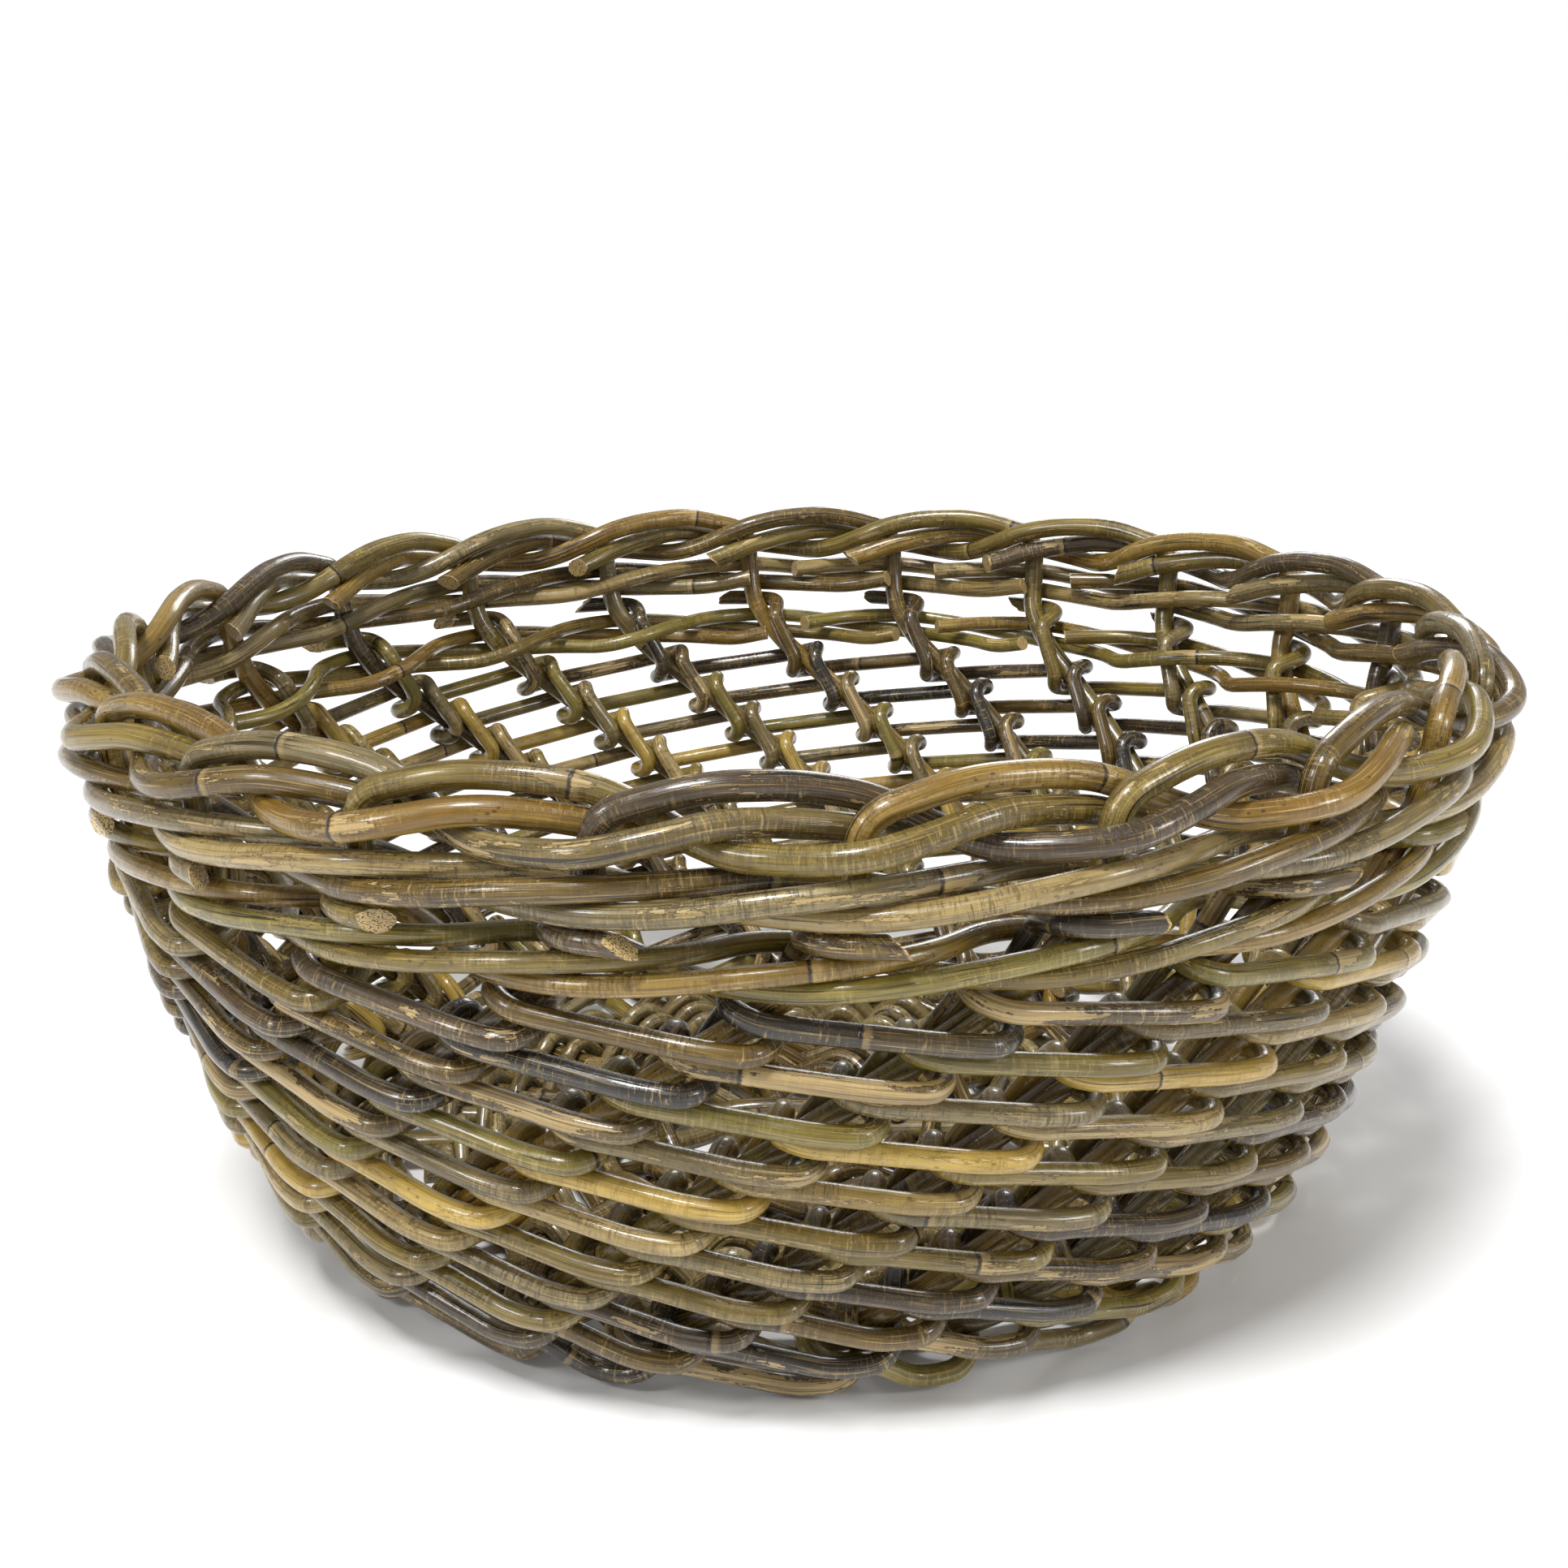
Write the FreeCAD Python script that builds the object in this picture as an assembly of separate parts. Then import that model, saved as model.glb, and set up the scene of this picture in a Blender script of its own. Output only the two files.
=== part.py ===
import FreeCAD, Part
import math
import os

# Woven basket, every cane its own solid.  Millimetres, +Z up, floor at z = 0,
# the basket's axis on the Z axis.
os.makedirs("parts", exist_ok=True)

# ---- driving dimensions -------------------------------------------------
RIM_DIAMETER = 480.0        # over the border
HEIGHT = 206.0              # floor to the top of the border
BASE_FLARE = 1.0            # scales how wide the base is against the rim
STAKES = 22                 # upright canes; half of it must be an odd number
STAKE_DIAMETER = 8.0
WEAVER_DIAMETER = 6.5
UPPER_WALE_DIAMETER = 7.0
LOWER_WALE_DIAMETER = 6.2
BASE_CANE_DIAMETER = 6.0
BASE_STICK_DIAMETER = 8.0
ROW_PITCH = 13.4            # distance between two rows up the wall
LEAN_PER_ROW = 4.35         # degrees a stake moves round for each row
CLEAR = 0.22                # air left between canes that touch
SEGMENT_BEND = 0.46         # share of a run used up by the bend at its end
FOOT_SHIFT = 1.5            # a hand-made basket leans: its foot lies this far to the left
RIM_TILT = 0.016            # and its rim is this share of its height higher on the right

# ---- derived ------------------------------------------------------------
SPOKES = STAKES // 2
STEP = 2.0 * math.pi / STAKES
RS = STAKE_DIAMETER / 2.0
RW = WEAVER_DIAMETER / 2.0
RU = UPPER_WALE_DIAMETER / 2.0
RL = LOWER_WALE_DIAMETER / 2.0
RB = BASE_CANE_DIAMETER / 2.0
RK = BASE_STICK_DIAMETER / 2.0
KS = STAKE_DIAMETER / 8.0
KR = RIM_DIAMETER / 480.0

BASE_LIFT = RK + RB + CLEAR             # how far a base cane leaves the mid plane
Z_MID = BASE_LIFT + RB                  # mid plane of the base
Z_BORDER = HEIGHT - 11.75 * KS
WALE_RISE_U = RU + 0.46
WALE_RISE_L = RL + 0.6
Z_UPPER = Z_BORDER - 11.75 * KS - WALE_RISE_U - RU
Z_LOWER = Z_UPPER - WALE_RISE_U - RU - WEAVER_DIAMETER - 3.0 * CLEAR - WALE_RISE_L - RL
Z_TOP_FLOAT = Z_LOWER - WALE_RISE_L - RL - RW - 1.4

# profile of the stakes' axis, radius against height
SHAPE = [(133.0, 0.0), (148.0, 0.0), (154.5, 0.010), (160.0, 0.028), (169.0, 0.085), (177.0, 0.160),
         (184.0, 0.248), (191.0, 0.348), (197.0, 0.447), (203.0, 0.547), (208.5, 0.647),
         (213.5, 0.747), (218.0, 0.841), (222.0, 0.918), (225.2, 0.974), (226.6, 1.03),
         (226.8, 1.10)]


def catmull(points, steps):
    """Dense points on a smooth curve through the given ones."""
    out = []
    count = len(points)
    for i in range(count - 1):
        p0 = points[max(i - 1, 0)]
        p1, p2 = points[i], points[i + 1]
        p3 = points[min(i + 2, count - 1)]
        for k in range(steps):
            t = k / steps
            out.append(tuple(
                0.5 * (2 * b + (c - a) * t + (2 * a - 5 * b + 4 * c - d) * t * t
                       + (3 * b - a - 3 * c + d) * t ** 3)
                for a, b, c, d in zip(p0, p1, p2, p3)))
    out.append(tuple(points[-1]))
    return out


def make_profile():
    """Dense points of the stakes' axis as radius and height, with the length up to each."""
    top = Z_BORDER - 12.0 * KS
    pts = []
    for r, t in SHAPE:
        rr = 226.8 - (226.8 - r) * BASE_FLARE
        pts.append((rr * KR, Z_MID + t * (top - Z_MID)))
    dense = catmull(pts, 12)
    run = [0.0]
    for a, b in zip(dense, dense[1:]):
        run.append(run[-1] + math.dist(a, b))
    return dense, run


PROFILE, RUN = make_profile()


def profile_at(s):
    """Radius and height of the stakes' axis at length s."""
    s = min(max(s, 0.001), RUN[-1] - 0.001)
    lo, hi = 0, len(RUN) - 1
    while hi - lo > 1:
        mid = (lo + hi) // 2
        if RUN[mid] <= s:
            lo = mid
        else:
            hi = mid
    t = (s - RUN[lo]) / (RUN[hi] - RUN[lo])
    (r0, z0), (r1, z1) = PROFILE[lo], PROFILE[hi]
    return r0 + (r1 - r0) * t, z0 + (z1 - z0) * t


def run_at_height(z):
    """Length along the stakes' axis at height z."""
    for i in range(1, len(PROFILE)):
        if PROFILE[i][1] >= z and PROFILE[i][1] > PROFILE[0][1] + 0.01:
            (r0, z0), (r1, z1) = PROFILE[i - 1], PROFILE[i]
            return RUN[i - 1] + (RUN[i] - RUN[i - 1]) * (z - z0) / (z1 - z0)
    return RUN[-1]


S_FIRST = RUN[12 * 3]                               # first row, on the rounded foot
S_TOP = run_at_height(Z_TOP_FLOAT)
ROWS = max(3, int(round((S_TOP - S_FIRST) / ROW_PITCH + 0.5)))
PITCH = (S_TOP - S_FIRST) / (ROWS - 0.5)


def row_run(q):
    """Length along the stakes' axis at row q."""
    return S_FIRST + (q - 1.0) * PITCH


def row_of_run(s):
    """Row at length s along the stakes' axis."""
    return 1.0 + (s - S_FIRST) / PITCH


def lean(q):
    """Degrees a stake has moved round by row q."""
    top, soft = ROWS + 0.7, 2.1
    if q < 0.0:
        return 0.0
    if q < 1.0:
        return LEAN_PER_ROW * 0.5 * q * q
    base = LEAN_PER_ROW * 0.5
    if q <= top:
        return base + LEAN_PER_ROW * (q - 1.0)
    t = min((q - top) / soft, 1.0)
    return base + LEAN_PER_ROW * (top - 1.0) + LEAN_PER_ROW * soft * (t - 0.5 * t * t)


def stake_angle(j, q):
    """Angle of stake j at row q: even at the wall, moved to the sticks' spacing at the foot."""
    t = min(max((3.6 - q) / 3.8, 0.0), 1.0)
    shift = STEP / 6.0 * (1 if j % 2 == 0 else -1) * t * t * (3 - 2 * t)
    return STEP * (j + 0.5) + shift + math.radians(lean(q))


def surface(j, q):
    """Point on the axis of stake j at row q."""
    r, z = profile_at(row_run(q))
    a = stake_angle(j, q)
    return (r * math.cos(a), r * math.sin(a), z)


def add(a, b, k=1.0):
    return tuple(x + y * k for x, y in zip(a, b))


def sub(a, b):
    return tuple(x - y for x, y in zip(a, b))


def unit(a):
    n = math.sqrt(sum(x * x for x in a))
    return tuple(x / n for x in a)


def cross(a, b):
    return (a[1] * b[2] - a[2] * b[1], a[2] * b[0] - a[0] * b[2], a[0] * b[1] - a[1] * b[0])


def frame(j, q):
    """Point on stake j at row q, with its along, side and outward directions."""
    p = surface(j, q)
    d = sub(surface(j, q + 0.02), surface(j, q - 0.02))
    size = math.sqrt(sum(x * x for x in d)) / 0.04
    u = unit(d)
    s = row_run(q)
    r0, z0 = profile_at(s - 0.5)
    r1, z1 = profile_at(s + 0.5)
    a = stake_angle(j, q)
    dr, dz = r1 - r0, z1 - z0
    n = unit((dz * math.cos(a), dz * math.sin(a), -dr))
    v = unit(cross(u, n))
    return p, u, v, n, size


def near_stake(j, q, u, v, w):
    """Point beside stake j: u along it from row q, v to its side, w outward."""
    size = frame(j, q)[4]
    p, _, side, out, _ = frame(j, q + u / size)
    return add(add(p, side, v), out, w)


# ---- centrelines ----------------------------------------------------------
W_IN = RS + RW + CLEAR                  # weaver behind a stake
W_START = RS + RW + CLEAR               # a float leaving a stake
W_END = W_START + 3.6 * WEAVER_DIAMETER / 6.8     # a float arriving over the next one
SIDE = RS + RW + CLEAR + 0.4
# three corners of a wrap: how far up the stake they lie, then how far in from the
# side, aside and outward they are.  Low on the foot a wrap climbs evenly; higher up
# it doubles back, so that its inside bits lie side by side.
EVEN_IN = ((7.2, 6.4, 8.4), (0.8, 2.9, -5.4))
DOUBLED_IN = ((6.6, 2.8, 4.8), (0.3, 3.5, -3.9))
EVEN_OUT = ((-8.6, -6.6, -6.4), (0.8, 2.9, -5.0))
DOUBLED_OUT = ((-6.6, -4.6, -7.2), (0.3, 3.5, -3.9))


def weaver_line(index):
    """One weaver: butt inside at the foot, a full turn round each stake, tail outside."""
    k = WEAVER_DIAMETER / 6.8
    pts = []
    j = index
    # bottom butt, inside stake `index`
    pts.append(near_stake(j, 1.0, 1.0 * k, 1.0 * k, -W_IN - 1.7))
    for row in range(0, ROWS + 1):
        j = index + row
        if row > 0:
            (u1, u2, u3), (v2, v3, w2) = EVEN_IN if row in (1, ROWS) else DOUBLED_IN
            deep = -W_IN - (1.35 if row == 1 else 0.6)
            side = SIDE + (0.55 if row == 1 else 0.1 if row < 4 else 0.0)
            pts.append(near_stake(j, row, -6.0 * k, -6.6 * k, W_END - 0.2))
            pts.append(near_stake(j, row, 3.6 * k, 4.0 * k, W_END))
            pts.append(near_stake(j, row, u1 * k, side + 0.3, 3.2 * k))
            pts.append(near_stake(j, row, u2 * k, side - v2, w2 * k))
            pts.append(near_stake(j, row, u3 * k, v3 * k, deep))
        if row < ROWS:
            top = row + 1.5
            (u1, u2, u3), (v2, v3, w2) = EVEN_OUT if row in (0, ROWS - 1) else DOUBLED_OUT
            deep = -W_IN - (1.1 if row < 2 else 0.6)
            side = SIDE + (0.1 if row < 4 else 0.0)
            pts.append(near_stake(j, top, u1 * k, -v3 * k, deep))
            pts.append(near_stake(j, top, u2 * k, v2 - side, w2 * k))
            pts.append(near_stake(j, top, u3 * k, -side, 3.2 * k))
            pts.append(near_stake(j, top, -1.6 * k, -2.2 * k, W_START))
            pts.append(near_stake(j, top, 5.8 * k, 6.6 * k, W_START - 0.2))
    # tail: up behind the lower wale, out above it, cut short beyond the stake
    j = index + ROWS
    zt = Z_LOWER + WALE_RISE_L + RL + 1.5 * CLEAR + RW
    q_tail = row_of_run(run_at_height(zt + 0.6))
    pts.append(near_stake(j, q_tail, -11.0 * k, -4.6 * k, -W_IN - 1.6))
    r, z = profile_at(row_run(q_tail))
    a = stake_angle(j, q_tail)
    for ds, w, dz in ((-SIDE - 2.8, -6.0 * k, -2.2), (-SIDE - 3.2, 3.6 * k, 0.0), (-2.4, W_START + 1.8, 0.0),
                      (8.0 * k, W_START + 3.0, 0.0), (16.5 * k, W_START + 4.6, -0.1)):
        pts.append(radial(a + ds / r, r + w, zt + dz))
    return pts


def radial(angle, r, z):
    """Point at an angle and a distance from the basket's axis."""
    return (r * math.cos(angle), r * math.sin(angle), z)


# border run, in stake steps: (step, outward, up) for an 8 mm cane
BORDER = [(0.42, -4.2, 8.1), (0.78, -8.4, 7.2), (1.02, -10.6, 4.2), (1.20, -9.6, -0.4),
          (1.36, -5.4, -5.3), (1.54, -0.2, -8.45), (1.78, 6.4, -7.6), (2.02, 9.9, -6.0),
          (2.26, 7.0, -2.5), (2.52, 1.4, 0.75), (2.78, -5.4, -1.4), (3.02, -10.6, -4.6),
          (3.16, -13.0, -7.8), (3.34, -14.6, -11.0)]


def stake_line(j):
    """One stake: foot in the base, leaning wall run, turned down into the border."""
    a0 = stake_angle(j, -1.0)
    pts = [radial(a0, 89.0 * KR, Z_MID), radial(a0, 136.0 * KR, Z_MID)]
    q_end = row_of_run(run_at_height(Z_BORDER - 15.0 * KS))
    steps = int(round((q_end - 0.5) / 1.2))
    rows = [0.42 + (q_end - 0.42) * i / steps for i in range(steps + 1)]
    pts.append(surface(j, -0.15))
    pts += [surface(j, q) for q in rows]
    a = stake_angle(j, q_end)
    rb = PROFILE[-1][0]
    pts.append(radial(a + 0.02 * STEP, rb - 0.2, Z_BORDER + 1.0 * KS))
    for t, out, up in BORDER:
        pts.append(radial(a + t * STEP, rb + out * KS, Z_BORDER + up * KS))
    return pts


def wale_line(first, z, rise, inner, outer, turns):
    """One of three waling canes: behind one stake, then in front of two."""
    shape = [(0.0, -inner, 0.15), (0.30, -inner * 0.72, -0.80), (0.62, outer * 0.2, -1.03),
             (1.0, outer, -1.0), (1.34, outer + 1.3, -0.45), (1.66, outer + 1.3, 0.45),
             (2.0, outer, 1.0), (2.38, outer * 0.2, 1.03), (2.70, -inner * 0.72, 0.90)]
    pts = []
    for period in range(int(turns // 3) + 1):
        for t, w, h in shape:
            done = 3 * period + t
            if done <= turns:
                zz = z + h * rise
                s = run_at_height(zz)
                a = STEP * (first + done + 0.5) + math.radians(lean(row_of_run(s)))
                pts.append(radial(a, profile_at(s)[0] + w, zz))
    return pts


def base_spiral(r0, r1, rods, offset, first_rod, parity, z=Z_MID, lift=BASE_LIFT, end_trim=0.30):
    """A cane going over and under every rod from r0 out to r1."""
    pitch = 2 * RB + 0.4
    turns = (r1 - r0) / pitch
    crossings = int(turns * rods)
    pts = []
    for i in range(crossings + 1):
        rod = first_rod + i
        a = offset + 2 * math.pi * rod / rods
        r = r0 + (r1 - r0) * i / crossings
        side = 1 if (i + parity) % 2 == 0 else -1
        gap = 2 * math.pi / rods
        flat = min(0.45 * RK * 2 / r, gap * 0.22)
        if i > 0:
            pts.append(radial(a - flat, r, z + side * lift))
        pts.append(radial(a + flat, r, z + side * lift))
        if i == 0:
            pts.insert(0, radial(a - gap * end_trim, r, z + side * lift))
    r = r1
    pts.append(radial(a + gap * end_trim, r, z + side * lift))
    return pts


def ring_line(r, phase, trim):
    """An upsett cane: once round the stakes' feet, over one and under one."""
    pts = []
    for i in range(STAKES):
        a = stake_angle(i, -1.0)
        side = 1 if (i + phase) % 2 == 0 else -1
        flat = 3.5 / r
        z = Z_MID + side * BASE_LIFT
        pts.append(radial(a - (trim if i == 0 else flat), r, z))
        pts.append(radial(a + (trim if i == STAKES - 1 else flat), r, z))
    return pts


def stick_line(e0, e1, offset, upper, along_x, half_stick=False):
    """A base stick: level across the middle, fanned out to spokes e0 and e1."""
    z = Z_MID + (RK + 0.1) * (1 if upper else -1)
    reach = 130.5 * KR
    flat = 15.0
    a0 = 2 * math.pi * e0 / SPOKES
    inner = (flat, offset) if along_x else (offset, flat)
    pts = [radial(a0, reach, Z_MID), radial(a0, 33.0, Z_MID), (inner[0], inner[1], z)]
    if half_stick:
        end = (offset, -flat + 1.0)
        pts.append((end[0], end[1], z))
        return pts
    a1 = 2 * math.pi * e1 / SPOKES
    inner = (-flat, offset) if along_x else (offset, -flat)
    pts += [(inner[0], inner[1], z), radial(a1, 33.0, Z_MID), radial(a1, reach, Z_MID)]
    return pts


def all_lines():
    """Every cane: node name, centreline points and radius."""
    out = []
    for j in range(STAKES):
        out.append(("stake_%02d" % (j + 1), stake_line(j), RS))
    for j in range(STAKES):
        out.append(("weaver_%02d" % (j + 1), weaver_line(j), RW))
    for c, name in enumerate("abc"):
        turns = (STAKES + 1.72, STAKES - 1.28, STAKES - 1.28)[c]
        off = RS + RU + CLEAR + 1.4
        out.append(("upper_wale_" + name, wale_line(c, Z_UPPER, WALE_RISE_U, off, off, turns), RU))
    for c, name in enumerate("abc"):
        turns = (STAKES + 1.72, STAKES - 1.28, STAKES - 1.28)[c]
        out.append(("lower_wale_" + name,
                    wale_line(c, Z_LOWER, WALE_RISE_L, RS + 2 * RW + RL + 3 * CLEAR + 3.8,
                              RS + RL + CLEAR + 1.4, turns), RL))
    g = STAKE_DIAMETER + 1.0
    out.append(("base_stick_1", stick_line(1, 5, g, True, True), RK))
    out.append(("base_stick_2", stick_line(0, 6, 0.0, True, True), RK))
    out.append(("base_stick_3", stick_line(-1, 7, -g, True, True), RK))
    out.append(("base_stick_4", stick_line(2, 9, g, False, False), RK))
    out.append(("base_stick_5", stick_line(3, 8, 0.0, False, False), RK))
    out.append(("base_half_stick", stick_line(4, None, -g, False, False, True), RK))
    out.append(("base_weave_inner",
                base_spiral(41.5, 84.0 * KR, SPOKES, 0.0, 0, 0, end_trim=0.16), RB))
    out.append(("base_weave_outer",
                base_spiral(93.5 * KR, 126.0 * KR, 3 * SPOKES, 0.0, 0, 0, end_trim=0.22), RB))
    out.append(("upsett_cane_inner", ring_line(139.6 * KR, 0, 0.16 * STEP), RB))
    out.append(("upsett_cane_outer", ring_line(146.2 * KR, 1, 0.14 * STEP), RB))
    return [(name, [settle(p) for p in points], radius) for name, points, radius in out]


def settle(point):
    """Moves a point of the true basket to where the leaning, hand-made one has it."""
    x, y, z = point
    rise = RIM_TILT * (0.8 * x + 0.6 * y) / (RIM_DIAMETER / 2.0)
    lifted = z + rise * max(z - 2.0 * Z_MID, 0.0)
    return (x - FOOT_SHIFT * (1.0 - z / HEIGHT), y, lifted)


def rounded(points):
    """Straight runs joined by tangent arcs: list of ('line', a, b) and ('arc', a, m, b)."""
    n = len(points)
    cuts = []
    for i in range(1, n - 1):
        a, b, c = points[i - 1], points[i], points[i + 1]
        la, lc = math.dist(a, b), math.dist(b, c)
        t = min(la, lc) * SEGMENT_BEND
        d0, d1 = unit(sub(a, b)), unit(sub(c, b))
        p0, p1 = add(b, d0, t), add(b, d1, t)
        cosang = max(-1.0, min(1.0, -sum(x * y for x, y in zip(d0, d1))))
        turn = math.acos(cosang)
        if turn < 0.01:
            cuts.append(None)
            continue
        radius = t / math.tan(turn / 2.0)
        bis = unit(add(d0, d1))
        centre = add(b, bis, radius / math.cos(turn / 2.0))
        mid = add(centre, bis, -radius)
        cuts.append((p0, mid, p1, radius))
    segs = []
    here = points[0]
    for cut in cuts:
        if cut is None:
            continue
        segs.append(("line", here, cut[0]))
        segs.append(("arc", cut[0], cut[1], cut[2], cut[3]))
        here = cut[2]
    segs.append(("line", here, points[-1]))
    return [s for s in segs if s[0] == "arc" or math.dist(s[1], s[2]) > 1e-4]


def sweep(points, radius):
    """Solid round cane along the rounded centreline."""
    vec = FreeCAD.Vector
    edges = []
    for s in rounded(points):
        if s[0] == "line":
            edges.append(Part.LineSegment(vec(*s[1]), vec(*s[2])).toShape())
        else:
            edges.append(Part.Arc(vec(*s[1]), vec(*s[2]), vec(*s[3])).toShape())
    spine = Part.Wire(edges)
    start, nxt = vec(*points[0]), vec(*points[1])
    ring = Part.Wire([Part.makeCircle(radius, start, nxt - start)])
    shape = spine.makePipeShell([ring], True, False)
    if not shape.isValid() or shape.Volume <= 0:
        raise RuntimeError("sweep failed")
    return shape


def main():
    """Writes one STEP file for each cane."""
    for name, points, radius in all_lines():
        solid = sweep(points, radius)
        solid.exportStep("parts/%s.step" % name)
        print(name, round(solid.Volume), len(solid.Faces))


if __name__ == "__main__":
    main()
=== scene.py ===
"""Woven cane basket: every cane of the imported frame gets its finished, varnished rattan stem."""
from __future__ import annotations

import logging
import math
from dataclasses import dataclass, field
from enum import Enum

import bpy
import numpy as np
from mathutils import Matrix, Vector

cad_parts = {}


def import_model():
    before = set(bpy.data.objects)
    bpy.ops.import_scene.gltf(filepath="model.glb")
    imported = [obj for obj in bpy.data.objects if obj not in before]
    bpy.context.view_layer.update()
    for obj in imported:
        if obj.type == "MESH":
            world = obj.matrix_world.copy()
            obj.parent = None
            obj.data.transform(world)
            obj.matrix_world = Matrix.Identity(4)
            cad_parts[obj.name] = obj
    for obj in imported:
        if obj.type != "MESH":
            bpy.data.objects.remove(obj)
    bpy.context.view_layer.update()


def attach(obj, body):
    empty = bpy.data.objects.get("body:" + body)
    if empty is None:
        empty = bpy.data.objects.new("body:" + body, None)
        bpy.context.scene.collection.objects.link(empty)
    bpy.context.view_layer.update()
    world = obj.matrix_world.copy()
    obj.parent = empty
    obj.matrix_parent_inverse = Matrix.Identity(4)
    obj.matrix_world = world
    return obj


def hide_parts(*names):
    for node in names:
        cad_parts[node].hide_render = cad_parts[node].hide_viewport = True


LOG = logging.getLogger("basket")
MM = 0.001
Point = tuple[float, float, float]
Colour = tuple[float, float, float]


# ---- finishes ---------------------------------------------------------------
def linear(red: int, green: int, blue: int) -> Colour:
    """A display colour, 0 to 255, as linear light.

    Args:
        red: Red, 0 to 255.
        green: Green, 0 to 255.
        blue: Blue, 0 to 255.

    Returns:
        The same colour as scene-linear values.
    """
    def one(value: int) -> float:
        """One channel of the colour."""
        part = value / 255.0
        return part / 12.92 if part <= 0.04045 else ((part + 0.055) / 1.055) ** 2.4

    return one(red), one(green), one(blue)


@dataclass(frozen=True)
class Finish:
    """How the skin of one kind of rattan stem looks.

    Attributes:
        skin: Main colour of the skin.
        shade: Darker colour of its streaks and ends.
        blush: Colour that it drifts to along its length.
        drift: How much of the length has drifted, 0 to 1.
        peel: How much of the skin is peeled off, 0 to 1.
        cracks: Strength of the fine cracks across it.
        specks: Strength of the black specks.
        roughness: Roughness of the varnished skin.
    """

    skin: Colour
    shade: Colour
    blush: Colour
    drift: float = 0.4
    peel: float = 0.25
    cracks: float = 0.6
    specks: float = 0.4
    roughness: float = 0.26


WOOD = linear(204, 180, 136)
RING = linear(34, 25, 18)


class Bark(Enum):
    """The kinds of stem in this basket."""

    OLIVE = Finish(linear(140, 124, 76), linear(78, 65, 35), linear(114, 97, 56), 0.45, 0.20, 0.7, 0.5)
    TAN = Finish(linear(158, 134, 84), linear(96, 74, 40), linear(130, 103, 60), 0.45, 0.30, 0.7, 0.7)
    STRAW = Finish(linear(196, 171, 109), linear(138, 112, 64), linear(162, 140, 86), 0.40, 0.20, 0.5, 0.5)
    PALE = Finish(linear(180, 161, 118), linear(104, 87, 56), linear(150, 130, 86), 0.4, 0.40, 0.9, 0.5)
    PATCHED = Finish(linear(104, 89, 62), linear(56, 44, 29), linear(128, 110, 74), 0.4, 0.86, 0.6, 0.5)
    GREY = Finish(linear(144, 131, 97), linear(78, 67, 45), linear(113, 98, 65), 0.5, 0.34, 0.9, 0.4)
    BROWN = Finish(linear(110, 91, 54), linear(52, 40, 23), linear(88, 71, 41), 0.5, 0.22, 0.7, 0.5)
    PLUM = Finish(linear(92, 79, 62), linear(42, 34, 26), linear(80, 65, 46), 0.5, 0.18, 0.8, 0.3, 0.22)
    BLACK = Finish(linear(58, 54, 49), linear(20, 18, 16), linear(84, 72, 52), 0.35, 0.12, 0.6, 0.2, 0.20)
    GREEN = Finish(linear(140, 129, 78), linear(86, 76, 40), linear(122, 107, 62), 0.4, 0.14, 0.5, 0.4)


class Graph:
    """A small helper that adds nodes to a shader or geometry tree and joins them."""

    def __init__(self, tree: bpy.types.NodeTree) -> None:
        """Keeps the tree.

        Args:
            tree: The node tree to fill.
        """
        self.tree = tree

    def add(self, kind: str, values: dict | None = None, **settings: object) -> bpy.types.Node:
        """Adds one node.

        Args:
            kind: The node's type name.
            values: Input name or number to a value or to the socket that feeds it.
            **settings: Properties of the node.

        Returns:
            The new node.
        """
        node = self.tree.nodes.new(kind)
        for key, value in settings.items():
            setattr(node, key, value)
        for key, value in (values or {}).items():
            self.feed(node.inputs[key], value)
        return node

    def feed(self, socket: bpy.types.NodeSocket, value: object) -> None:
        """Links a socket to the value, or stores the value in it."""
        if isinstance(value, bpy.types.NodeSocket):
            self.tree.links.new(value, socket)
        else:
            socket.default_value = value

    def math(self, operation: str, *values: object, clamp: bool = False) -> bpy.types.NodeSocket:
        """One Math node.

        Args:
            operation: The operation's name.
            *values: Its one to three operands, numbers or sockets.
            clamp: Keeps the result between 0 and 1.

        Returns:
            The result's socket.
        """
        node = self.add("ShaderNodeMath", dict(enumerate(values)), operation=operation, use_clamp=clamp)
        return node.outputs[0]

    def ramp(self, value: object, low: float, high: float, start: float = 0.0,
             end: float = 1.0) -> bpy.types.NodeSocket:
        """A smooth step of value from low to high, going from start to end."""
        values = {"Value": value, "From Min": low, "From Max": high, "To Min": start, "To Max": end}
        node = self.add("ShaderNodeMapRange", values, interpolation_type="SMOOTHSTEP")
        return node.outputs["Result"]

    def vector(self, x: object, y: object, z: object) -> bpy.types.NodeSocket:
        """A vector of three numbers or sockets."""
        return self.add("ShaderNodeCombineXYZ", {0: x, 1: y, 2: z}).outputs[0]

    def noise(self, place: bpy.types.NodeSocket, scale: Point, detail: float = 2.0,
              roughness: float = 0.5) -> bpy.types.NodeSocket:
        """Noise whose grain is scaled apart along each axis of place.

        Args:
            place: Where it is read.
            scale: Cycles for each metre along x, y and z.
            detail: Number of finer layers.
            roughness: Strength of the finer layers.

        Returns:
            The noise, about 0 to 1.
        """
        spread = self.add("ShaderNodeVectorMath", {0: place, 1: scale}, operation="MULTIPLY")
        values = {"Vector": spread.outputs[0], "Scale": 1.0, "Detail": detail, "Roughness": roughness}
        return self.add("ShaderNodeTexNoise", values).outputs[0]

    def mix(self, amount: object, first: object, second: object) -> bpy.types.NodeSocket:
        """Mixes two colours, numbers in a row or sockets."""
        node = self.add("ShaderNodeMix", data_type="RGBA")
        self.feed(node.inputs[0], amount)
        for socket, colour in ((node.inputs[6], first), (node.inputs[7], second)):
            self.feed(socket, (*colour, 1.0) if isinstance(colour, tuple) else colour)
        return node.outputs[2]


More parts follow.
